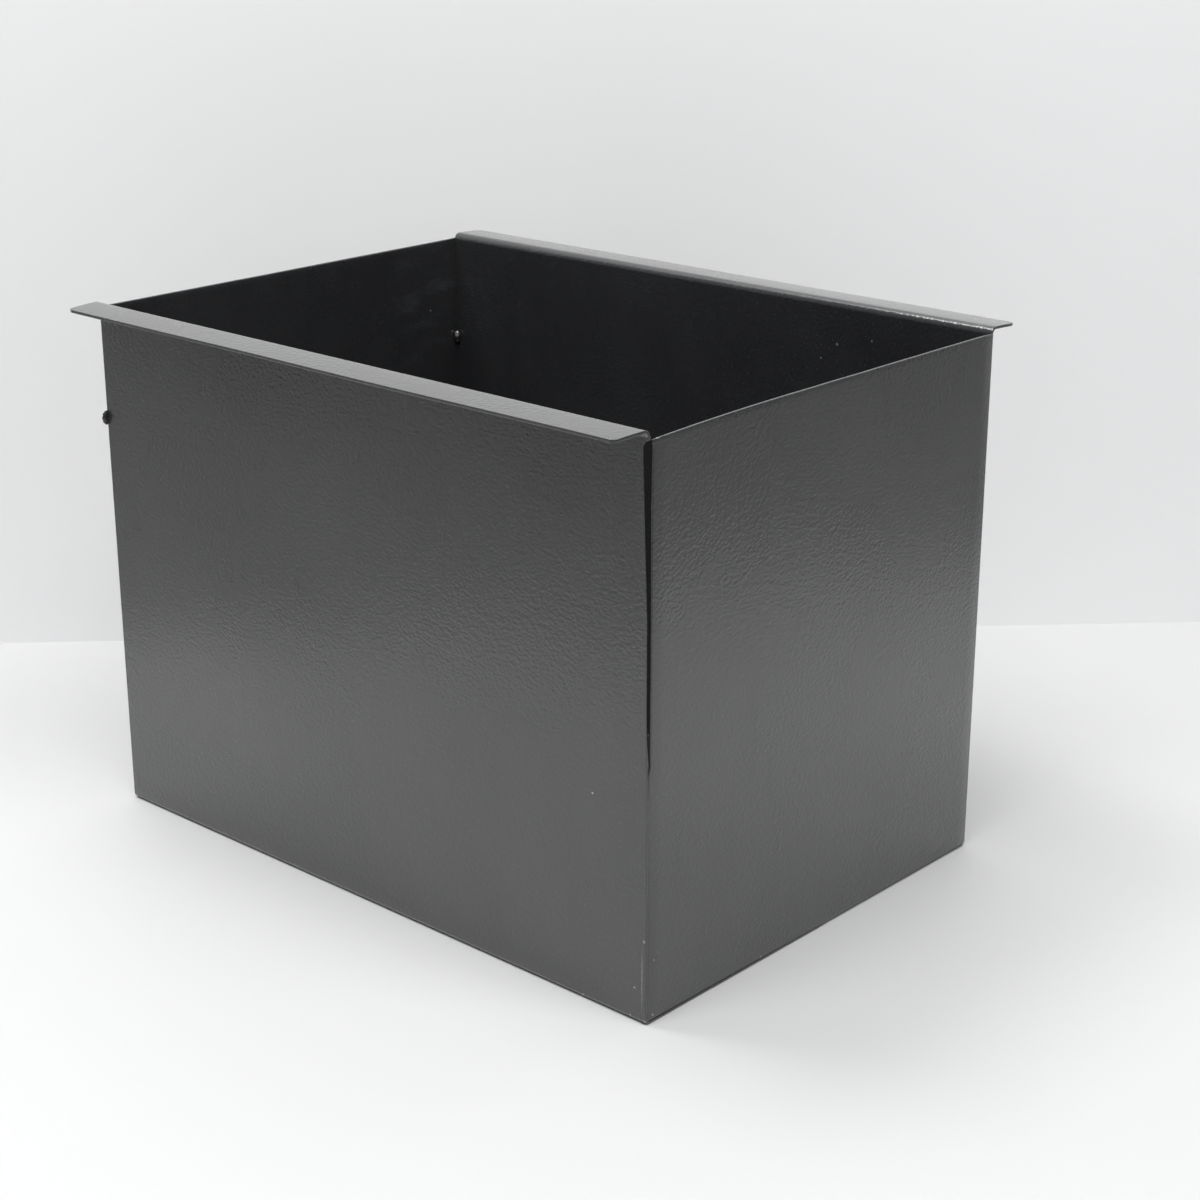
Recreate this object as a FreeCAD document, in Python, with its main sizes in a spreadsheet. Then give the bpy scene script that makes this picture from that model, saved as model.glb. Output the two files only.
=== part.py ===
import FreeCAD, Part
import os
import Sketcher
from FreeCAD import Placement, Rotation, Vector
from Sketcher import Constraint

# Open-topped sheet-steel parcel bin that hangs by two flanges.
# +X runs along the flanges, +Y to the rear, +Z up; the origin is the middle of the floor's underside.
# The front wall, floor, rear wall and both flanges are one folded sheet; the ends are flat panels
# that stand on the floor between the walls, held by short welds. The front right corner is open at
# its top, where the wall is cut back; the left corners each have a tack weld at that height.

SIZES = {
    "outer_length": 300.0,  # over the outer faces of the end panels
    "outer_depth": 205.0,  # over the outer faces of the front and rear walls
    "panel_top": 220.0,  # top edges of the end panels above the ground
    "flange_rise": 2.2,  # flange tops above the end panels
    "flange_reach": 16.0,  # flange overhang beyond the wall's outer face
    "flange_corner_radius": 3.0,
    "sheet_thickness": 1.2,
    "sheet_inset": 0.6,  # the folded sheet's ends stand in from the end panels' outer faces
    "base_bend_radius": 1.2,  # inside radius of the two lower bends
    "flange_bend_radius": 1.8,  # inside radius of the two upper bends
    "gap_depth": 2.1,  # the open corner's cut-back of the front wall, just below the flange bend
    "gap_start": 155.0,  # height where the cut-back begins
    "side_clearance": 0.3,  # between an end panel and each wall
    "weld_leg": 2.5,
    "weld_top": 95.0,  # top of the upper corner welds
    "low_weld_length": 30.0,
    "high_weld_length": 20.0,
    "floor_weld_length": 40.0,
    "tack_radius": 2.6,
    "tack_height": 6.0,
    "tack_rounding": 1.6,
    "tack_drop": 47.0,  # tack centre below the end panel's top edge
}

FLOOR_WELDS_PER_END = 3
ENDS = {"left": -1, "right": 1}
WALLS = {"front": -1, "rear": 1}
TACKED_END = "left"
OUTSIDE_TACK_WALL = "front"  # the other tack is in the corner's inside
TACK_SEAM_TURN = 45  # degrees; keeps the round blob's own seam line off the faces of the sheets

START, END = 1, 2  # points of a sketch line
ORIGIN = (-1, 1)  # origin point of a sketch
HORIZONTAL_AXIS = -1
TOLERANCE = 0.01

doc = FreeCAD.newDocument("ParcelBin")
sheet = doc.addObject("Spreadsheet::Sheet", "Sizes")
for row, (alias, value) in enumerate(SIZES.items(), start=1):
    sheet.set(f"A{row}", alias)
    sheet.set(f"B{row}", str(value))
    sheet.setAlias(f"B{row}", alias)
doc.recompute()


def add_body(label):
    """A PartDesign body whose name and label are the sub-part's name."""
    body = doc.addObject("PartDesign::Body", label)
    body.Label = label
    return body


def origin_plane(body, role):
    return next(feature for feature in body.Origin.OriginFeatures if feature.Role == role)


def add_sketch(body, role, name):
    """A sketch on one of the body's own origin planes."""
    sketch = body.newObject("Sketcher::SketchObject", name)
    sketch.AttachmentSupport = (origin_plane(body, role), "")
    sketch.MapMode = "FlatFace"
    return sketch


def add_outline(sketch, corners):
    """Closed straight-sided outline in an empty sketch; side N starts at corner N."""
    count = len(corners)
    for side, (across, up) in enumerate(corners):
        next_across, next_up = corners[(side + 1) % count]
        sketch.addGeometry(Part.LineSegment(Vector(across, up, 0), Vector(next_across, next_up, 0)))
        if up == next_up:
            sketch.addConstraint(Constraint("Horizontal", side))
        if across == next_across:
            sketch.addConstraint(Constraint("Vertical", side))
    for side in range(count):
        sketch.addConstraint(Constraint("Coincident", side, END, (side + 1) % count, START))


def bind(sketch, kind, points, value, expression):
    """Dimension between two points, driven by the spreadsheet."""
    (first, first_point), (second, second_point) = points
    index = sketch.addConstraint(Constraint(kind, first, first_point, second, second_point, value))
    sketch.setExpression(f"Constraints[{index}]", expression)


def add_extrusion(body, kind, name, sketch, length):
    """Pad or pocket of a sketch; a length of None goes through everything both ways."""
    feature = body.newObject(f"PartDesign::{kind}", name)
    feature.Profile = sketch
    if length is None:
        feature.Type = "ThroughAll"
        feature.SideType = "Symmetric"
    else:
        feature.setExpression("Length", length)
    doc.recompute()
    return feature


def add_fillet(body, name, edge_test, radius):
    """Fillet of every edge that the test picks on the body's latest feature."""
    base = body.Tip
    edges = [f"Edge{number}" for number, edge in enumerate(base.Shape.Edges, start=1) if edge_test(edge)]
    fillet = body.newObject("PartDesign::Fillet", name)
    fillet.Base = (base, edges)
    fillet.setExpression("Radius", radius)
    doc.recompute()


def add_mirror(body, name, feature, role):
    """Mirror image of a feature about one of the body's origin planes."""
    mirror = body.newObject("PartDesign::Mirrored", name)
    mirror.Originals = [feature]
    mirror.MirrorPlane = (origin_plane(body, role), [""])
    body.Tip = mirror
    doc.recompute()


def near(first, second):
    return abs(first - second) < TOLERANCE


def make_folded_sheet():
    """Front flange, front wall, floor, rear wall and rear flange in one bent sheet."""
    half_length = SIZES["outer_length"] / 2
    sheet_end = half_length - SIZES["sheet_inset"]
    half_depth = SIZES["outer_depth"] / 2
    thickness = SIZES["sheet_thickness"]
    flange_top = SIZES["panel_top"] + SIZES["flange_rise"]
    tip = half_depth + SIZES["flange_reach"]
    inner = half_depth - thickness
    underside = flange_top - thickness

    body = add_body("folded_sheet")
    section = add_sketch(body, "YZ_Plane", "FrontHalfSection")
    add_outline(section, [(0, 0), (-half_depth, 0), (-half_depth, underside), (-tip, underside),
                          (-tip, flange_top), (-inner, flange_top), (-inner, thickness), (0, thickness)])
    section.addConstraint(Constraint("Coincident", 0, START, *ORIGIN))
    bind(section, "DistanceX", ((1, START), ORIGIN), half_depth, "Sizes.outer_depth / 2")
    bind(section, "DistanceX", ((3, START), ORIGIN), tip, "Sizes.outer_depth / 2 + Sizes.flange_reach")
    bind(section, "DistanceX", ((5, START), ORIGIN), inner, "Sizes.outer_depth / 2 - Sizes.sheet_thickness")
    bind(section, "DistanceY", (ORIGIN, (5, START)), flange_top, "Sizes.panel_top + Sizes.flange_rise")
    bind(section, "DistanceY", ((3, START), (4, START)), thickness, "Sizes.sheet_thickness")
    bind(section, "DistanceY", (ORIGIN, (7, START)), thickness, "Sizes.sheet_thickness")
    pad = add_extrusion(body, "Pad", "FrontHalf", section, "Sizes.outer_length - 2 * Sizes.sheet_inset")
    pad.SideType = "Symmetric"
    add_mirror(body, "RearHalf", pad, "XZ_Plane")

    def lengthwise(across, up):
        return lambda edge: edge.BoundBox.XLength > half_length and all(
            near(abs(vertex.Y), across) and near(vertex.Z, up) for vertex in edge.Vertexes)

    add_fillet(body, "BaseBendOutside", lengthwise(half_depth, 0),
               "Sizes.base_bend_radius + Sizes.sheet_thickness")
    add_fillet(body, "BaseBendInside", lengthwise(inner, thickness), "Sizes.base_bend_radius")
    add_fillet(body, "FlangeBendOutside", lengthwise(inner, flange_top),
               "Sizes.flange_bend_radius + Sizes.sheet_thickness")
    add_fillet(body, "FlangeBendInside", lengthwise(half_depth, underside), "Sizes.flange_bend_radius")

    # The open corner is a wedge out of the front wall's right end, up to the flange bend.
    gap = add_sketch(body, "XZ_Plane", "CornerGap")
    cut_back = sheet_end - SIZES["gap_depth"]
    bend_start = flange_top - thickness - SIZES["flange_bend_radius"]
    add_outline(gap, [(sheet_end, SIZES["gap_start"]), (sheet_end, bend_start), (cut_back, bend_start)])
    bind(gap, "DistanceX", (ORIGIN, (0, START)), sheet_end, "Sizes.outer_length / 2 - Sizes.sheet_inset")
    bind(gap, "DistanceX", ((2, START), (1, START)), SIZES["gap_depth"], "Sizes.gap_depth")
    bind(gap, "DistanceY", (ORIGIN, (0, START)), SIZES["gap_start"], "Sizes.gap_start")
    bind(gap, "DistanceY", (ORIGIN, (1, START)), bend_start,
         "Sizes.panel_top + Sizes.flange_rise - Sizes.sheet_thickness - Sizes.flange_bend_radius")
    uncut_volume = body.Tip.Shape.Volume
    pocket = add_extrusion(body, "Pocket", "FrontRightGap", gap, "Sizes.outer_depth")
    pocket.Reversed = True
    doc.recompute()
    wedge_volume = SIZES["gap_depth"] * (bend_start - SIZES["gap_start"]) / 2 * thickness
    if not near(uncut_volume - pocket.Shape.Volume, wedge_volume):
        raise RuntimeError("the corner gap isn't a wedge through the front wall alone")

    add_fillet(body, "FlangeCorners",
               lambda edge: edge.BoundBox.ZLength > thickness / 2
               and all(near(abs(vertex.Y), tip) for vertex in edge.Vertexes),
               "Sizes.flange_corner_radius")
    return body


def make_end_panel(end):
    """Flat panel that stands on the floor; its lower corners follow the base bends."""
    thickness = SIZES["sheet_thickness"]
    side = SIZES["outer_depth"] / 2 - thickness - SIZES["side_clearance"]
    height = SIZES["panel_top"] - thickness

    body = add_body(f"{end}_end_panel")
    outline = add_sketch(body, "YZ_Plane", f"{end}_panel_outline")
    add_outline(outline, [(-side, 0), (side, 0), (side, height), (-side, height)])
    outline.addConstraint(Constraint("PointOnObject", 0, START, HORIZONTAL_AXIS))
    side_size = "(Sizes.outer_depth / 2 - Sizes.sheet_thickness - Sizes.side_clearance)"
    bind(outline, "DistanceX", ((0, START), ORIGIN), side, side_size)
    bind(outline, "DistanceX", (ORIGIN, (1, START)), side, side_size)
    bind(outline, "DistanceY", (ORIGIN, (2, START)), height, "Sizes.panel_top - Sizes.sheet_thickness")
    add_extrusion(body, "Pad", f"{end}_panel_pad", outline, "Sizes.sheet_thickness")
    add_fillet(body, f"{end}_panel_corners",
               lambda edge: all(near(vertex.Z, 0) for vertex in edge.Vertexes) and edge.BoundBox.YLength < 1,
               "Sizes.base_bend_radius")
    low_face = {"left": "-Sizes.outer_length / 2", "right": "Sizes.outer_length / 2 - Sizes.sheet_thickness"}
    body.setExpression("Placement.Base.x", low_face[end])
    body.setExpression("Placement.Base.z", "Sizes.sheet_thickness")
    return body


def make_weld(label, length, rotation, place):
    """Straight fillet bead with a triangular section; place gives the root's start as expressions."""
    leg = SIZES["weld_leg"]
    body = add_body(label)
    section = add_sketch(body, "XY_Plane", f"{label}_section")
    add_outline(section, [(0, 0), (leg, 0), (0, leg)])
    section.addConstraint(Constraint("Coincident", 0, START, *ORIGIN))
    bind(section, "DistanceX", (ORIGIN, (1, START)), leg, "Sizes.weld_leg")
    bind(section, "DistanceY", (ORIGIN, (2, START)), leg, "Sizes.weld_leg")
    add_extrusion(body, "Pad", f"{label}_bead", section, length)
    body.Placement = Placement(Vector(), rotation)
    for axis, expression in zip("xyz", place):
        body.setExpression(f"Placement.Base.{axis}", expression)
    return body


def corner_root(end, wall):
    """Where the inner faces of an end panel and a wall meet, as expressions for x and y."""
    across = f"{ENDS[end]} * (Sizes.outer_length / 2 - Sizes.sheet_thickness)"
    along = f"{WALLS[wall]} * (Sizes.outer_depth / 2 - Sizes.sheet_thickness)"
    return across, along


def make_corner_welds(end, wall):
    """Two upright beads in the inner corner of an end panel and a wall."""
    across, along = corner_root(end, wall)
    turn = {("left", "front"): 0, ("right", "front"): 90, ("right", "rear"): 180, ("left", "rear"): 270}
    rotation = Rotation(Vector(0, 0, 1), turn[end, wall])
    low_start = "Sizes.sheet_thickness + Sizes.base_bend_radius + Sizes.weld_leg"
    high_start = "Sizes.weld_top - Sizes.high_weld_length"
    return [
        make_weld(f"{wall}_{end}_low_weld", "Sizes.low_weld_length", rotation, (across, along, low_start)),
        make_weld(f"{wall}_{end}_high_weld", "Sizes.high_weld_length", rotation, (across, along, high_start)),
    ]


def make_floor_welds(end):
    """Evenly spaced beads between an end panel and the floor."""
    across = f"{ENDS[end]} * (Sizes.outer_length / 2 - Sizes.sheet_thickness)"
    inward, up, rearward = Vector(-ENDS[end], 0, 0), Vector(0, 0, 1), Vector(0, 1, 0)
    bead_axes = (up, inward) if end == "left" else (inward, up)
    rotation = Rotation(*bead_axes, rearward, "ZXY")
    welds = []
    for index in range(FLOOR_WELDS_PER_END):
        step = index - (FLOOR_WELDS_PER_END - 1) / 2
        pitch = f"(Sizes.outer_depth - 2 * Sizes.sheet_thickness) / {FLOOR_WELDS_PER_END}"
        along = f"{step} * {pitch} - Sizes.floor_weld_length / 2"
        place = (across, along, "Sizes.sheet_thickness")
        welds.append(make_weld(f"{end}_floor_weld_{index + 1}", "Sizes.floor_weld_length", rotation, place))
    return welds


def add_boolean(kind, name, base, tool):
    """Part boolean of two objects."""
    result = doc.addObject(f"Part::{kind}", name)
    result.Base = base
    result.Tool = tool
    return result


def make_tack(end, wall, folded_sheet):
    """Rounded tack weld on a corner's outside or inside, flush with the end panel's outer face."""
    label = f"{wall}_{end}_tack"
    blob = add_body(f"{label}_blob")
    barrel = blob.newObject("PartDesign::AdditiveCylinder", f"{label}_barrel")
    barrel.setExpression("Radius", "Sizes.tack_radius")
    barrel.setExpression("Height", "Sizes.tack_height")
    doc.recompute()
    add_fillet(blob, f"{label}_rims", lambda edge: edge.Closed, "Sizes.tack_rounding")
    blob.Placement = Placement(Vector(), Rotation(Vector(0, 0, 1), TACK_SEAM_TURN * ENDS[end] * WALLS[wall]))

    panel_side = f"{WALLS[wall]} * (Sizes.outer_depth / 2 - Sizes.sheet_thickness - Sizes.side_clearance)"
    across, along = corner_root(end, wall)
    if wall == OUTSIDE_TACK_WALL:
        across = f"{ENDS[end]} * (Sizes.outer_length / 2 - Sizes.sheet_inset)"
        along = f"{WALLS[wall]} * Sizes.outer_depth / 2"
        near_edge, far_edge = f"{WALLS[wall]} * Sizes.outer_depth", panel_side
        low_edge = f"{ENDS[end]} * Sizes.outer_length / 2"
    else:
        near_edge, far_edge = "0 * Sizes.outer_depth", along
        low_edge = across
    foot = "Sizes.panel_top - Sizes.tack_drop - Sizes.tack_height / 2"
    for axis, expression in zip("xyz", (across, along, foot)):
        blob.setExpression(f"Placement.Base.{axis}", expression)

    # The box holds the side of the corner that the tack is on.
    envelope = doc.addObject("Part::Box", f"{label}_envelope")
    envelope.setExpression("Length", "Sizes.outer_length")
    envelope.setExpression("Width", f"{far_edge} - ({near_edge})")
    envelope.setExpression("Height", "Sizes.panel_top")
    envelope.setExpression("Placement.Base.x", low_edge)
    envelope.setExpression("Placement.Base.y", near_edge)

    flush = add_boolean("Common", f"{label}_flush", blob, envelope)
    tack = add_boolean("Cut", label, flush, folded_sheet)
    tack.Label = label
    return tack


def make_parts():
    folded_sheet = make_folded_sheet()
    parts = [folded_sheet, *(make_end_panel(end) for end in ENDS)]
    for end in ENDS:
        for wall in WALLS:
            parts += make_corner_welds(end, wall)
        parts += make_floor_welds(end)
    for wall in WALLS:
        parts.append(make_tack(TACKED_END, wall, folded_sheet))
    return parts


def check(parts):
    """Stop on any failed object, and on any sub-part that isn't one valid solid."""
    for item in doc.Objects:
        if "Invalid" in item.State or "Error" in item.State:
            raise RuntimeError(f"{item.Label} failed: {item.State}")
    for part in parts:
        if part.Shape.isNull() or not part.Shape.isValid() or len(part.Shape.Solids) != 1:
            raise RuntimeError(f"{part.Label} isn't one valid solid")


parts = make_parts()
doc.recompute()
check(parts)
os.makedirs("parts", exist_ok=True)
for part in parts:
    part.Shape.exportStep(f"parts/{part.Label}.step")
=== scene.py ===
import math

import bpy
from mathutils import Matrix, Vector, noise


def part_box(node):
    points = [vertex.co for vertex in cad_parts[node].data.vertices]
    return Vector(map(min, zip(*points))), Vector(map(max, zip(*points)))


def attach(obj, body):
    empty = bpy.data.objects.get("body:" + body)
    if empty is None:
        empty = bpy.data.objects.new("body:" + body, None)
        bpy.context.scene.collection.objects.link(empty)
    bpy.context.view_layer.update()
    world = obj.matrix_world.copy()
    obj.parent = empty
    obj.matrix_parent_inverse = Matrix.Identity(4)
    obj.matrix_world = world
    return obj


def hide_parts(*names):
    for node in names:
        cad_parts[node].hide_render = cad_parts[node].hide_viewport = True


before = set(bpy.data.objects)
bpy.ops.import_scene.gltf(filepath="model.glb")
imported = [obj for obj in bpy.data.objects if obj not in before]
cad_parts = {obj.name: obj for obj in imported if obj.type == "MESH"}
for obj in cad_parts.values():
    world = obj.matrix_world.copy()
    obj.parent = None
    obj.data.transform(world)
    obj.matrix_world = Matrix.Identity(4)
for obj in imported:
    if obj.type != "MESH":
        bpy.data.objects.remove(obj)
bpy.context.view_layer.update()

MM = 0.001

# Sizes of the bin in millimetres.
SHEET = 1.2
SIDE_CLEARANCE = 0.3  # between an end panel and the wall beside it
EDGE_ROUND = 0.28  # rounding of the folded sheet's rim
PANEL_ROUND = 0.5  # rounding of an end panel's rim
TIP_MARGIN = 0.05  # room that the sagging flange's tilted rim needs inside the CAD box
BASE_BEND = 1.8  # mid-thickness radius of the two lower bends
FLANGE_BEND = 2.4  # mid-thickness radius of the two upper bends
FLANGE_CORNER = 3.0
FLANGE_DROOP = 0.9  # how far the flange's lip hangs below its bend
FLANGE_SLANT = 1.3  # how much shorter the front flange's lip is at its right end
PANEL_CORNER = 1.2  # radius of an end panel's lower corners
PANEL_DISH = 0.5
PANEL_TAPER = 0.5  # how much the right end panel narrows at its front top corner
TAPER_START, TAPER_HEIGHT = 196.0, 24.0
WALL_BOW = 0.55
BOW_LOW, BOW_HIGH, BOW_FADE = 6.0, 216.0, 30.0  # heights the bow stays between, and its fade
FLOOR_SWELL = 0.25

# The front right corner: cut back at the top, open down to JOINT_START, coated over below it.
GAP_START = 155.0  # the cut-back runs from here up to the flange bend
GAP_DEPTH = 2.1
GAP_HEADROOM = 0.8  # the bend's end keeps its full length for this far down
JOINT_START = 104.0
COATED_OVER = 0.5  # how much further the coat carries the wall's end below the open joint
UNDERCUT = 1.35  # slant of the wall's end face in the open joint
CORNER_DIP = 1.3  # the right panel's top edge drops by this much towards the corner

WELD_LEG = 2.5
BEAD_STEP = 0.28  # spacing of a bead's cross-sections
RIPPLE_PITCH = 1.35


def node_box(name):
    low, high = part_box(name)
    return low / MM, high / MM


sheet_high = node_box("folded_sheet")[1]
panel_low, panel_high = node_box("right_end_panel")
SHEET_END = sheet_high.x
FLANGE_TIP = sheet_high.y
FLANGE_TOP = sheet_high.z
PANEL_OUT = panel_high.x
PANEL_SIDE = panel_high.y
PANEL_TOP = panel_high.z
PANEL_FOOT = panel_low.z
WALL_MID = PANEL_SIDE + SIDE_CLEARANCE + SHEET / 2
BEND_START = FLANGE_TOP - SHEET / 2 - FLANGE_BEND
GAP_TOP = BEND_START - GAP_HEADROOM


# ---------------------------------------------------------------- mesh helpers

def wave(x, y, z, seed=0.0):
    """Smooth noise from -1 to 1."""
    return noise.noise(Vector((x + 17.3 * seed, y - 9.1 * seed, z + 5.7 * seed)))


def new_piece(name, vertices, faces, replaced, material):
    """Smooth-shaded piece in place of the CAD nodes named in the list."""
    mesh = bpy.data.meshes.new(name)
    mesh.from_pydata([tuple(c * MM for c in v) for v in vertices], [], faces)
    mesh.validate()
    mesh.update()
    piece = bpy.data.objects.new(name, mesh)
    bpy.context.scene.collection.objects.link(piece)
    mesh.polygons.foreach_set("use_smooth", [True] * len(mesh.polygons))
    mesh.materials.append(material)
    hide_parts(*replaced)
    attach(piece, "root")
    return piece


def grid_normals(middle):
    """Normals of a grid of points, column direction crossed with row direction."""
    rows, cols = len(middle), len(middle[0])
    result = []
    for i in range(rows):
        line = []
        for j in range(cols):
            along = middle[min(i + 1, rows - 1)][j] - middle[max(i - 1, 0)][j]
            across = middle[i][min(j + 1, cols - 1)] - middle[i][max(j - 1, 0)]
            line.append(across.cross(along).normalized())
        result.append(line)
    return result


def sheet_solid(middle, edge):
    """Closed sheet about a grid of mid-surface points that stops one edge radius short of the rim."""
    normals = grid_normals(middle)
    rows, cols = len(middle), len(middle[0])
    half = SHEET / 2
    vertices, faces = [], []
    for side in (1, -1):
        for i in range(rows):
            for j in range(cols):
                vertices.append(middle[i][j] + normals[i][j] * (half * side))
    count = rows * cols

    def at(i, j, side):
        return i * cols + j + (0 if side > 0 else count)

    for i in range(rows - 1):
        for j in range(cols - 1):
            faces.append((at(i, j, 1), at(i, j + 1, 1), at(i + 1, j + 1, 1), at(i + 1, j, 1)))
            faces.append((at(i, j, -1), at(i + 1, j, -1), at(i + 1, j + 1, -1), at(i, j + 1, -1)))

    loop = [(0, j) for j in range(cols)]
    loop += [(i, cols - 1) for i in range(1, rows)]
    loop += [(rows - 1, j) for j in range(cols - 2, -1, -1)]
    loop += [(i, 0) for i in range(rows - 2, 0, -1)]

    def outward(i, j):
        push = Vector()
        if i in (0, rows - 1):
            push += (middle[i][j] - middle[i + (1 if i == 0 else -1)][j]).normalized()
        if j in (0, cols - 1):
            push += (middle[i][j] - middle[i][j + (1 if j == 0 else -1)]).normalized()
        push -= normals[i][j] * push.dot(normals[i][j])
        return push.normalized() * min(1.42, push.length)

    turns = [math.radians(a) for a in (22.5, 45, 67.5, 90)]
    profile = [(math.sin(a), half - edge + edge * math.cos(a)) for a in turns]
    profile += [(across, -up) for across, up in reversed(profile)]
    rings = [[at(i, j, 1) for i, j in loop]]
    for across, up in profile:
        ring = []
        for i, j in loop:
            ring.append(len(vertices))
            vertices.append(middle[i][j] + outward(i, j) * (edge * across) + normals[i][j] * up)
        rings.append(ring)
    rings.append([at(i, j, -1) for i, j in loop])
    size = len(loop)
    for first, second in zip(rings, rings[1:]):
        for k in range(size):
            n = (k + 1) % size
            faces.append((first[n], first[k], second[k], second[n]))
    return vertices, faces


def steps(start, end, count):
    """Evenly spaced values from start to end, both included."""
    return [start + (end - start) * k / count for k in range(count + 1)]


# ---------------------------------------------------------------- materials

DARK_COAT = (0.0190, 0.0195, 0.0210, 1.0)
PALE_COAT = (0.0280, 0.0285, 0.0300, 1.0)
DUST = (0.085, 0.085, 0.088, 1.0)
SCUFF = (0.20, 0.21, 0.22, 1.0)
PRIMER = (0.55, 0.55, 0.53, 1.0)
CHIP_RAG = 0.0011  # how far, in metres, a chip's outline wanders

# Small chipped spots and specks where the primer shows through, and three painted highlights on the rear
# flange's bend: place in millimetres, radius, strength.
CHIPS_AND_PAINTED_GLINTS = [
    ((124.0, -102.5, 84.0), 0.45, 0.8),
    ((142.4, -102.5, 1.9), 0.6, 0.45),
    ((149.2, -102.2, 1.6), 0.7, 0.5),
    ((144.3, -102.5, 13.8), 0.5, 0.4),
    ((119.0, -102.3, 1.4), 0.6, 0.8),
    ((148.8, -102.5, 33.6), 0.7, 0.3),
    ((150.0, -98.4, 25.2), 0.6, 0.16),
    ((150.0, -96.4, 27.6), 0.4, 0.12),
    ((150.0, -98.7, 3.3), 0.7, 0.3),
    ((150.0, -36.2, 2.1), 0.5, 0.5),
    ((67.0, 101.3, 197.0), 0.55, 0.28),
    ((75.0, 101.3, 204.0), 0.75, 0.25),
    ((92.5, 101.3, 208.0), 0.55, 0.25),
    ((-148.8, 84.0, 188.0), 0.6, 0.3),
    # Painted highlights: these three pale spots near the right end of the rear flange's bend stand in for
    # glints of light on the bend.
    ((144.0, 102.9, 221.4), 0.5, 1.0),
    ((145.6, 102.7, 221.3), 0.35, 0.9),
    ((142.2, 103.0, 221.7), 0.4, 0.8),
    ((145.5, -102.6, 221.2), 0.7, 0.7),
    ((146.6, -102.9, 220.4), 0.6, 0.8),
    ((-128.0, -102.2, 1.0), 0.5, 0.8),
    ((-121.0, -102.2, 1.0), 0.4, 0.7),
    ((-108.0, -102.2, 1.0), 0.35, 0.6),
]
# Painted highlight: a pale spot on top of the rear left tack stands in for a glint of light off the weld.
PAINTED_TACK_GLINT = ((-147.3, 99.4, 174.6), 1.6, 0.32)
# A thin worn line runs up beside the front right corner: stretch, middle, radius, strength.
WORN_LINE = ((2.6, 1.0, 0.085), (147.9, -102.5, 18.0), 1.3, 0.17)


class Nodes:
    """Short calls for wiring a material's nodes."""

    def __init__(self, name):
        self.material = bpy.data.materials.new(name)
        self.material.use_nodes = True
        self.tree = self.material.node_tree
        self.shader = self.tree.nodes["Principled BSDF"]
        self.coordinates = self.add("ShaderNodeTexCoord").outputs["Object"]

    def add(self, kind, **settings):
        node = self.tree.nodes.new(kind)
        for key, value in settings.items():
            setattr(node, key, value)
        return node

    def link(self, source, target):
        self.tree.links.new(source, target)

    def feed(self, socket, value):
        if isinstance(value, bpy.types.NodeSocket):
            self.link(value, socket)
        else:
            socket.default_value = value

    def math(self, operation, first, second=0.0, clamp=False):
        node = self.add("ShaderNodeMath", operation=operation, use_clamp=clamp)
        self.feed(node.inputs[0], first)
        self.feed(node.inputs[1], second)
        return node.outputs[0]

    def vector(self, operation, first, second):
        node = self.add("ShaderNodeVectorMath", operation=operation)
        self.feed(node.inputs[0], first)
        self.feed(node.inputs[1], second)
        return node.outputs["Value" if operation == "DISTANCE" else "Vector"]

    def scaled(self, scale, turn=(0.0, 0.0, 0.0)):
        node = self.add("ShaderNodeMapping")
        self.link(self.coordinates, node.inputs["Vector"])
        node.inputs["Rotation"].default_value = turn
        node.inputs["Scale"].default_value = scale
        return node.outputs[0]

    def noise(self, coordinates, scale, detail=2.0, roughness=0.5, distortion=0.0):
        node = self.add("ShaderNodeTexNoise")
        self.link(coordinates, node.inputs["Vector"])
        node.inputs["Scale"].default_value = scale
        node.inputs["Detail"].default_value = detail
        node.inputs["Roughness"].default_value = roughness
        node.inputs["Distortion"].default_value = distortion
        return node

    def cells(self, coordinates, scale):
        node = self.add("ShaderNodeTexVoronoi", feature="SMOOTH_F1")
        self.link(coordinates, node.inputs["Vector"])
        node.inputs["Scale"].default_value = scale
        node.inputs["Smoothness"].default_value = 0.6
        return node.outputs["Distance"]

    def span(self, value, low, high, to_low=0.0, to_high=1.0):
        node = self.add("ShaderNodeMapRange")
        self.feed(node.inputs["Value"], value)
        node.inputs["From Min"].default_value = low
        node.inputs["From Max"].default_value = high
        node.inputs["To Min"].default_value = to_low
        node.inputs["To Max"].default_value = to_high
        return node.outputs["Result"]

    def mix(self, factor, first, second):
        node = self.add("ShaderNodeMix", data_type="RGBA")
        self.feed(node.inputs[0], factor)
        self.feed(node.inputs[6], first)
        self.feed(node.inputs[7], second)
        return node.outputs[2]


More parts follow.
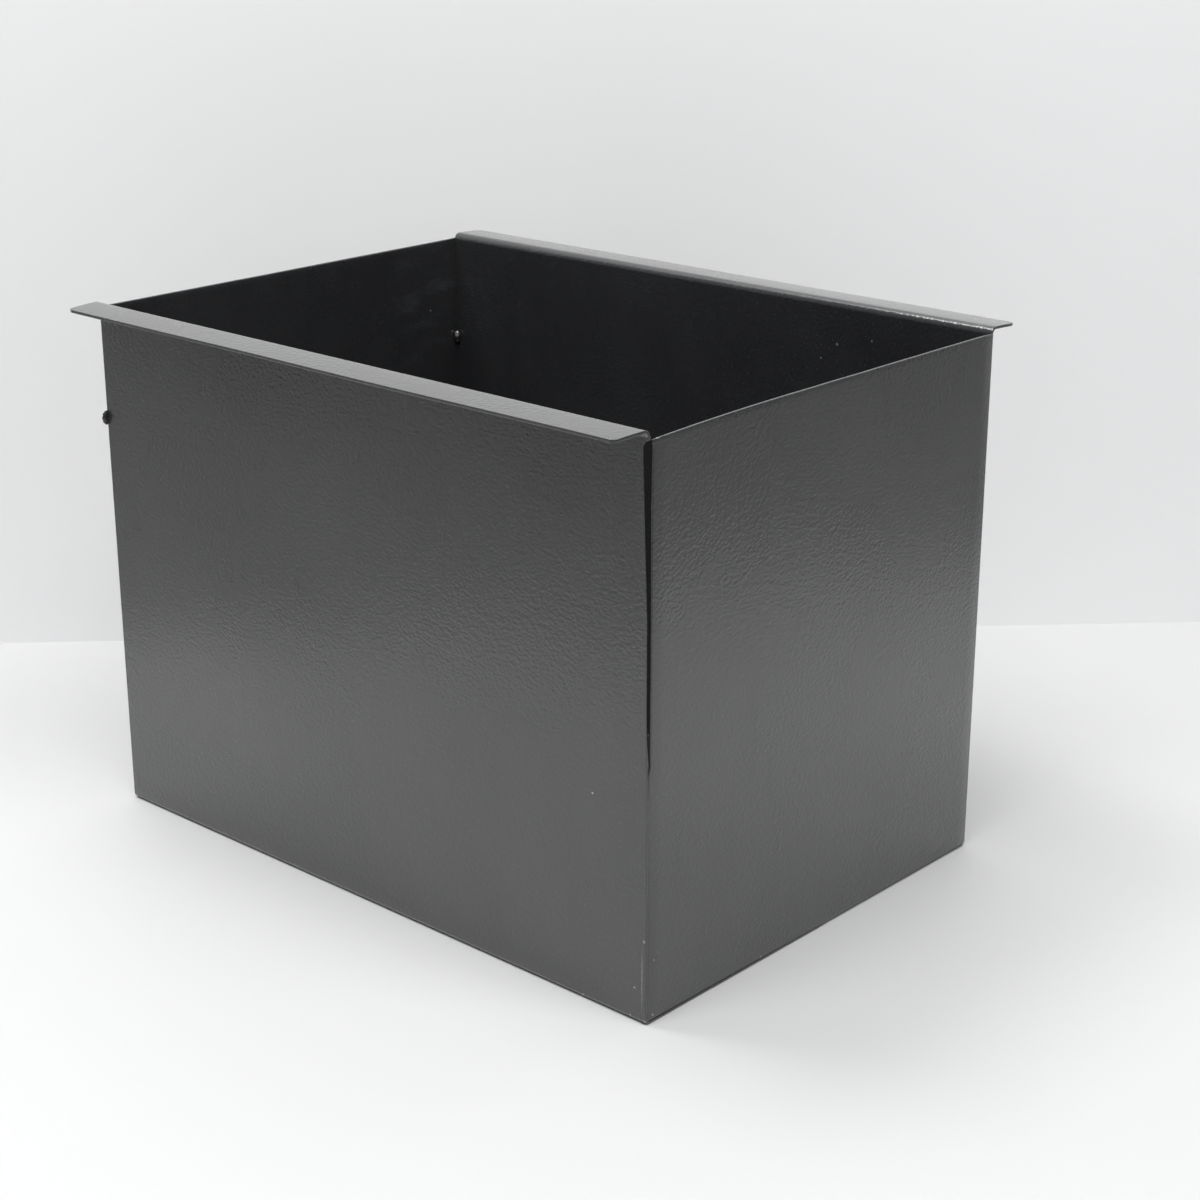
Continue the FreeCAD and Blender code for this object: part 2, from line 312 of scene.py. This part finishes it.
def powder_coat(name, grain_depth, roughness, chips_and_glints, worn=None):
    """Charcoal powder coat: a leather-like grain, soft smudges, dust, spots chipped to pale primer, and pale
    spots that are painted highlights.
    """
    n = Nodes(name)
    place = n.coordinates

    smudge = n.noise(place, 13.0, 3.0, 0.55).outputs["Fac"]
    streak = n.noise(n.scaled((1.0, 1.0, 0.35)), 60.0, 4.0, 0.6).outputs["Fac"]
    speck = n.noise(place, 900.0, 2.0, 0.7).outputs["Fac"]

    blend = n.math("ADD", n.math("MULTIPLY", smudge, 0.7), n.math("MULTIPLY", streak, 0.3))
    colour = n.mix(n.span(blend, 0.36, 0.66), DARK_COAT, PALE_COAT)
    colour = n.mix(n.math("MULTIPLY", n.span(speck, 0.60, 0.75), 0.35), colour, DUST)

    # Rubbed patch on the inner face of the left end, near the rear corner.
    rub = n.span(n.vector("DISTANCE", place, (-0.149, 0.083, 0.192)), 0.034, 0.008)
    split = n.add("ShaderNodeSeparateXYZ")
    n.link(place, split.inputs[0])
    rub = n.math("MULTIPLY", rub, n.span(split.outputs["X"], -0.1495, -0.1492))
    strokes = n.noise(n.scaled((1.0, 0.35, 1.0), (0.5, 0.0, 0.0)), 150.0, 5.0, 0.7).outputs["Fac"]
    rub = n.math("MULTIPLY", rub, n.span(strokes, 0.50, 0.68), clamp=True)
    colour = n.mix(n.math("MULTIPLY", rub, 0.11), colour, SCUFF)

    turned = n.scaled((0.8, 0.8, 1.1), (0.25, 0.25, 0.0))
    cells = n.cells(turned, 740.0)
    wrinkle = n.noise(turned, 630.0, 3.0, 0.62, 0.35).outputs["Fac"]
    fine = n.noise(place, 1500.0, 2.0, 0.5).outputs["Fac"]
    height = n.math("ADD", n.math("MULTIPLY", cells, 0.75), n.math("MULTIPLY", wrinkle, 0.85))
    height = n.math("ADD", height, n.math("MULTIPLY", fine, 0.15))

    # Chips, and the painted highlights listed among them, have ragged outlines, are matter than the coat and
    # lie a little below it.
    ragged = n.noise(place, 1400.0, 2.0, 0.6).outputs["Color"]
    shift = n.vector("SUBTRACT", n.vector("MULTIPLY", ragged, (CHIP_RAG,) * 3), (CHIP_RAG / 2,) * 3)
    shifted = n.vector("ADD", place, shift)
    wear_and_painted_glint = 0.0
    for centre, radius, strength in chips_and_glints:
        away = n.vector("DISTANCE", shifted, tuple(c * MM for c in centre))
        wear_and_painted_glint = n.math("MAXIMUM", wear_and_painted_glint, n.span(away, radius * MM, radius * MM * 0.55, 0.0, strength))
    if worn:
        stretch, centre, radius, strength = worn
        middle = tuple(c * k * MM for c, k in zip(centre, stretch))
        away = n.vector("DISTANCE", n.vector("MULTIPLY", shifted, stretch), middle)
        wear_and_painted_glint = n.math("MAXIMUM", wear_and_painted_glint, n.span(away, radius * MM, radius * MM * 0.4, 0.0, strength))
    colour = n.mix(wear_and_painted_glint, colour, PRIMER)
    gloss = n.span(smudge, 0.3, 0.7, roughness - 0.02, roughness + 0.03)
    gloss = n.math("ADD", gloss, n.math("MULTIPLY", wear_and_painted_glint, 0.2))
    height = n.math("SUBTRACT", height, n.math("MULTIPLY", wear_and_painted_glint, 0.6))

    # A clear glossy layer over the base mirrors the pale boards.
    n.link(colour, n.shader.inputs["Base Color"])
    n.link(gloss, n.shader.inputs["Roughness"])
    n.shader.inputs["IOR"].default_value = 1.5
    n.shader.inputs["Coat Weight"].default_value = 1.0
    n.shader.inputs["Coat Roughness"].default_value = 0.10
    bump = n.add("ShaderNodeBump")
    bump.inputs["Strength"].default_value = 1.0
    bump.inputs["Distance"].default_value = grain_depth * MM
    n.link(height, bump.inputs["Height"])
    n.link(bump.outputs["Normal"], n.shader.inputs["Normal"])
    n.link(bump.outputs["Normal"], n.shader.inputs["Coat Normal"])
    return n.material


sheet_coat = powder_coat("charcoal_powder_coat", 0.095, 0.27, CHIPS_AND_PAINTED_GLINTS, WORN_LINE)
# The weld coat's only pale spot is the painted highlight on the rear left tack.
weld_coat = powder_coat("coated_weld", 0.04, 0.25, [PAINTED_TACK_GLINT])


# ---------------------------------------------------------------- folded sheet

def folded_profile():
    """Mid-line of the folded section from the front flange's tip to the rear one's, as (y, z)."""
    top = FLANGE_TOP - SHEET / 2
    tip = FLANGE_TIP - EDGE_ROUND - TIP_MARGIN
    bend_y, bend_z = WALL_MID + FLANGE_BEND, top - FLANGE_BEND
    base_y, base_z = WALL_MID - BASE_BEND, SHEET / 2 + BASE_BEND
    half = []
    for inset in (0.0, 0.12, 0.35, 0.7, 1.2, 1.9, 2.8, 4.5, 6.5, 9.0, 11.0, 12.6):
        half.append((-(tip - inset), top))
    for turn in steps(90, 0, 10):
        a = math.radians(turn)
        half.append((-(bend_y - FLANGE_BEND * math.cos(a)), bend_z + FLANGE_BEND * math.sin(a)))
    upright = steps(bend_z, bend_z - 1.5, 4)[1:] + steps(bend_z - 1.5, JOINT_START, 84)[1:]
    upright += steps(JOINT_START, base_z, 30)[1:]
    half += [(-WALL_MID, z) for z in upright]
    for turn in steps(0, 90, 8)[1:]:
        a = math.radians(turn)
        half.append((-(base_y + BASE_BEND * math.cos(a)), base_z - BASE_BEND * math.sin(a)))
    floor = [(y, SHEET / 2) for y in steps(-base_y, base_y, 24)[1:-1]]
    return half + floor + [(-y, z) for y, z in reversed(half)]


def sheet_reach(y, z, end):
    """How far the folded sheet runs along X at a point of its section."""
    reach = SHEET_END - EDGE_ROUND
    side = 3.0 if y > 0 else 0.0
    reach -= 0.07 + 0.07 * wave(end * 4.1 + side, y * 0.2, z * 0.35)
    out = max(0.0, abs(y) - WALL_MID) / (FLANGE_TIP - WALL_MID)
    if end > 0 and y < 0:
        if GAP_START < z <= BEND_START:
            rise = (z - GAP_START) / (BEND_START - GAP_START)
            step = min(1.0, max(0.0, GAP_TOP - z) / 1.2)
            reach -= GAP_DEPTH * min(1.0, rise * 1.12) * step
            reach -= 0.16 * abs(wave(7.7, y * 0.2, z * 0.5)) * min(1.0, rise * 6)
        if z < JOINT_START:
            reach += COATED_OVER * min(1.0, (JOINT_START - z) / 16)
        reach -= FLANGE_SLANT * out
    corner = FLANGE_CORNER - EDGE_ROUND
    left = FLANGE_TIP - EDGE_ROUND - abs(y)
    if left < corner:
        reach -= corner - math.sqrt(max(0.0, corner ** 2 - (corner - left) ** 2))
    return reach


def undercut(vertex):
    """The open joint's end face slants inwards, so the joint is dark from outside."""
    at_end = vertex.x >= SHEET_END - 4 and vertex.y <= -WALL_MID + 1
    if not (at_end and JOINT_START <= vertex.z <= BEND_START):
        return vertex
    depth = min(1.0, max(0.0, (vertex.y + WALL_MID + SHEET / 2) / SHEET))
    fade = min(1.0, (vertex.z - JOINT_START) / 22, max(0.0, GAP_TOP - vertex.z) / 1.5)
    ragged = 1.0 + 0.35 * wave(vertex.z * 0.9, 3.0, 1.0)
    return Vector((vertex.x - UNDERCUT * depth * fade * ragged, vertex.y, vertex.z))


def flange_drop(x, y):
    """The flanges sag a little towards their outer edges, unevenly along their length."""
    out = max(0.0, abs(y) - WALL_MID - 1.0) / (FLANGE_TIP - WALL_MID)
    side = 5.0 if y > 0 else 0.0
    uneven = 1.0 + 0.25 * wave(x * 0.012, side, 0.0)
    return FLANGE_DROOP * uneven * out ** 1.6


def make_folded_sheet():
    """Flanges, walls and floor as one bent sheet, with slightly bowed walls and a raised floor."""
    profile = folded_profile()
    fractions = [math.sin(math.radians(a)) for a in steps(-90, 90, 44)]
    middle = []
    for y, z in profile:
        line = []
        for f in fractions:
            x = f * sheet_reach(y, z, 1 if f > 0 else -1)
            fade = max(0.0, 1.0 - (abs(x) / SHEET_END) ** 4)
            height = min(1.0, max(0.0, z - BOW_LOW) / BOW_FADE) * min(1.0, max(0.0, BOW_HIGH - z) / BOW_FADE)
            bow = WALL_BOW * wave(x * 0.011, y * 0.02, z * 0.012, 1.0) * fade * height
            swell = FLOOR_SWELL * fade * max(0.0, 1.0 - (y / 95) ** 2) if z < 1 else 0.0
            line.append(Vector((x, y + bow, z - flange_drop(x, y) + swell)))
        middle.append(line)
    vertices, faces = sheet_solid(middle, EDGE_ROUND)
    vertices = [undercut(vertex) for vertex in vertices]
    new_piece("bin_folded_sheet", vertices, faces, ["folded_sheet"], sheet_coat)


# ---------------------------------------------------------------- end panels

def make_end_panel(end, side):
    """Flat end, very slightly dished inwards, with a hand-ground top edge."""
    out = PANEL_OUT - SHEET / 2
    half = PANEL_SIDE - PANEL_ROUND
    low, high = PANEL_FOOT + PANEL_ROUND, PANEL_TOP - PANEL_ROUND
    corner = PANEL_CORNER - PANEL_ROUND
    heights = [low + d for d in (0.0, 0.1, 0.25, 0.5, 0.9, 1.5, 3.0)] + steps(low + 3.0, high, 96)[1:]
    middle = []
    for z in heights:
        line = []
        top = z > high - 0.1
        for f in steps(-1, 1, 32):
            open_joint = side > 0 and f < 0 and z > JOINT_START - 4
            snug = 0.0 if open_joint else SIDE_CLEARANCE + PANEL_ROUND
            reach = half + snug - 0.05 - 0.05 * wave(side * 2.3, (3.0 if f > 0 else 0.0), z * 0.5)
            lift = z - low
            if lift < corner:
                reach -= corner - math.sqrt(max(0.0, corner ** 2 - (corner - lift) ** 2))
            if side * f < 0 and not top:
                reach -= PANEL_TAPER * max(0.0, (z - TAPER_START) / TAPER_HEIGHT) * (1 if side > 0 else 0.3)
            y = f * reach
            fade = (1.0 - f ** 2) * min(1.0, max(0.0, z - 5) / 40)
            dish = PANEL_DISH * fade * (0.55 + 0.45 * wave(y * 0.014, z * 0.012, side * 3.0))
            drop = abs(0.10 * wave(y * 0.03, side, 9.0)) if top else 0.0
            if top and side > 0 and f < 0:
                drop += CORNER_DIP * max(0.0, -f - 0.3) ** 2 / 0.49
            line.append(Vector((side * (out - dish), side * y, z - drop)))
        middle.append(line)
    vertices, faces = sheet_solid(middle, PANEL_ROUND)
    panel = f"{end}_end_panel"
    new_piece(f"bin_{panel}", vertices, faces, [panel], sheet_coat)


# ---------------------------------------------------------------- welds

def bead(name, root, along, first_leg, second_leg, length, seed):
    """Fillet weld with overlapping ripples and rounded ends, from the root corner of two sheets."""
    stations = int(length / BEAD_STEP)
    arc = steps(0, 90, 8)
    vertices, faces = [], []
    for s in range(stations + 1):
        t = s / stations
        run = t * length
        end = min(1.0, math.sqrt(max(0.0, min(run, length - run)) / 1.6) + 0.05)
        ripple = 0.10 * abs(math.sin(math.pi * run / RIPPLE_PITCH + 0.6 * wave(run * 0.3, seed, 0.0)))
        wander = 0.10 * wave(run * 0.25, seed, 4.0)
        size = WELD_LEG * end * (0.92 + ripple + wander)
        centre = root + along * (run + 0.12 * wave(run * 0.8, seed, 2.0))
        vertices.append(centre - (first_leg + second_leg) * 0.25)
        for turn in arc:
            a = math.radians(turn)
            bulge = 0.80 + 0.03 * wave(run * 0.9, turn * 0.02, seed)
            reach = size * (bulge + (1.0 - bulge) * abs(math.cos(2 * a)))
            vertices.append(centre + first_leg * (reach * math.cos(a)) + second_leg * (reach * math.sin(a)))
    ring = len(arc) + 1
    for s in range(stations):
        for k in range(ring):
            a, b = s * ring + k, s * ring + (k + 1) % ring
            faces.append((a, b, b + ring, a + ring))
    faces.append(tuple(range(ring - 1, -1, -1)))
    faces.append(tuple(stations * ring + k for k in range(ring)))
    if first_leg.cross(second_leg).dot(along) < 0:
        faces = [tuple(reversed(face)) for face in faces]
    new_piece(f"bead_{name}", vertices, faces, [name], weld_coat)


def make_welds():
    """Upright beads in the four inner corners and short beads along the foot of each end."""
    inner = PANEL_OUT - SHEET
    wall = WALL_MID - SHEET / 2
    up = Vector((0, 0, 1))
    seed = 1.0
    for end, side in (("left", -1), ("right", 1)):
        inward = Vector((-side, 0, 0))
        for name, face in (("front", -1), ("rear", 1)):
            for level in ("low", "high"):
                label = f"{name}_{end}_{level}_weld"
                low, high = node_box(label)
                root = Vector((side * inner, face * wall, low.z))
                bead(label, root, up, inward, Vector((0, -face, 0)), high.z - low.z, seed)
                seed += 1.0
        for index in (1, 2, 3):
            label = f"{end}_floor_weld_{index}"
            low, high = node_box(label)
            root = Vector((side * inner, low.y, SHEET))
            bead(label, root, Vector((0, 1, 0)), inward, up, high.y - low.y, seed)
            seed += 1.0


def make_tack(name, seed, width=1.0):
    """Rippled blob of weld metal in its CAD box, or in the box's left share if width is under 1."""
    low, high = node_box(name)
    high.x = low.x + (high.x - low.x) * width
    centre = (low + high) / 2
    radii = (high - low) / 2
    rings, around = 22, 32
    vertices, faces = [], []
    for i in range(rings + 1):
        polar = math.pi * i / rings
        for j in range(around):
            turn = 2 * math.pi * j / around
            flat = math.sin(polar)
            ray = Vector((flat * math.cos(turn), flat * math.sin(turn), math.cos(polar)))
            squared = Vector([math.copysign(abs(c) ** 0.85, c) for c in ray])
            lump = 0.94 + 0.05 * math.sin(polar * 9) + 0.07 * wave(ray.x * 2, ray.y * 2, ray.z * 2, seed)
            reach = [min(1.0, max(-1.0, c * lump)) for c in squared]
            vertices.append(Vector([centre[k] + radii[k] * reach[k] for k in range(3)]))
    for i in range(rings):
        for j in range(around):
            n = (j + 1) % around
            a, b = i * around, (i + 1) * around
            faces.append((a + j, b + j, b + n, a + n))
    piece = new_piece(f"blob_{name}", vertices, faces, [name], weld_coat)
    weld = piece.modifiers.new("close_poles", "WELD")
    weld.merge_threshold = 0.00001


make_folded_sheet()
make_end_panel("left", -1)
make_end_panel("right", 1)
make_welds()
make_tack("front_left_tack", 1.0, width=0.45)
make_tack("rear_left_tack", 2.0)


# ---------------------------------------------------------------- stage, lights and camera

def board_material(name, colour, painted_dim, centre, start, end):
    """Matt board, clear from its back, with a painted falloff of light: its colour is pale near the centre
    given and painted darker beyond.
    """
    n = Nodes(name)
    mottle = n.noise(n.coordinates, 3.0, 3.0, 0.5).outputs["Fac"]
    near = n.mix(mottle, (colour, colour, colour, 1.0), (colour * 1.01, colour * 1.01, colour * 1.015, 1.0))
    # Painted shade: the colour fades to the painted dim value with distance from the centre.
    painted_falloff = n.span(n.vector("DISTANCE", n.coordinates, centre), start, end)
    n.link(n.mix(painted_falloff, near, (painted_dim, painted_dim, painted_dim, 1.0)), n.shader.inputs["Base Color"])
    n.shader.inputs["Roughness"].default_value = 0.6
    either = n.add("ShaderNodeMixShader")
    n.link(n.add("ShaderNodeNewGeometry").outputs["Backfacing"], either.inputs[0])
    n.link(n.shader.outputs[0], either.inputs[1])
    n.link(n.add("ShaderNodeBsdfTransparent").outputs[0], either.inputs[2])
    n.link(either.outputs[0], n.tree.nodes["Material Output"].inputs["Surface"])
    return n.material


def stage_plane(name, corners, material):
    """Flat board that isn't part of the bin."""
    mesh = bpy.data.meshes.new(name)
    mesh.from_pydata(corners, [], [(0, 1, 2, 3)])
    plane = bpy.data.objects.new(name, mesh)
    mesh.materials.append(material)
    bpy.context.scene.collection.objects.link(plane)


# The backdrop stands behind the bin's rear left corner, turned 45 degrees to it.
WALL_TURN = math.radians(45.07)
wall_along = Vector((math.cos(WALL_TURN), math.sin(WALL_TURN), 0))
wall_out = Vector((-math.sin(WALL_TURN), math.cos(WALL_TURN), 0))
wall_foot = wall_out * 0.2331


def on_wall(across, out, height):
    """Point given by its distance along the backdrop's foot, out of the backdrop, and height."""
    return wall_foot + wall_along * across + wall_out * out + Vector((0, 0, height))


# Painted shade: the floor's colour drops from 0.70 to 0.41 from about half a metre away from the bin.
floor_board = board_material("floor_board", 0.70, 0.41, (0.08, 0.03, 0.0), 0.435, 0.52)
back_board = board_material("backdrop_board", 0.93, 0.93, (0.0, 0.0, 0.0), 5.0, 6.0)

# How far the boards reach along the backdrop, towards the camera and up, in metres.
left, right, near, high = -1.6, 1.8, -1.5, 1.1
floor_corners = [(left, 0.0, 0), (left, near, 0), (right, near, 0), (right, 0.0, 0)]
backdrop_corners = [(left, 0, 0), (right, 0, 0), (right, 0, high), (left, 0, high)]
stage_plane("floor", [on_wall(*corner) for corner in floor_corners], floor_board)
stage_plane("backdrop", [on_wall(*corner) for corner in backdrop_corners], back_board)


def softbox(name, place, aim, width, height, power):
    """White rectangular lamp, with its sides in metres and its power in watts."""
    light = bpy.data.lights.new(name, "AREA")
    light.shape = "RECTANGLE"
    light.size, light.size_y = width, height
    light.energy = power
    lamp = bpy.data.objects.new(name, light)
    lamp.location = place
    lamp.rotation_mode = "QUATERNION"
    lamp.rotation_quaternion = (Vector(aim) - Vector(place)).to_track_quat("-Z", "Y")
    bpy.context.scene.collection.objects.link(lamp)


softbox("wall_wash", on_wall(0.0, -0.75, 1.25), on_wall(0.0, 0.0, 0.15), 1.6, 0.5, 16.0)
softbox("left_box", (-0.45, -0.2, 1.4), (-0.05, 0.0, 0.05), 0.45, 0.45, 7.8)
softbox("top_box", (-0.1, -0.35, 1.6), (0.0, -0.05, 0.0), 0.8, 0.8, 1.3)

world = bpy.data.worlds.new("studio")
world.use_nodes = True
background = world.node_tree.nodes["Background"]
background.inputs["Color"].default_value = (0.96, 0.98, 1.0, 1.0)
background.inputs["Strength"].default_value = 0.245
bpy.context.scene.world = world
bpy.context.scene.view_settings.view_transform = "Standard"

# The photo's viewpoint.
camera = bpy.data.objects.new("camera", bpy.data.cameras.new("camera"))
camera.data.lens = 70.21
camera.data.sensor_width = 36.0
camera.data.clip_start, camera.data.clip_end = 0.02, 50.0
camera.location = (0.63748, -0.66541, 0.42512)
camera.rotation_mode = "QUATERNION"
camera.rotation_quaternion = (Vector((0.03485, 0.0, 0.10902)) - camera.location).to_track_quat("-Z", "Y")
bpy.context.scene.collection.objects.link(camera)
bpy.context.scene.camera = camera
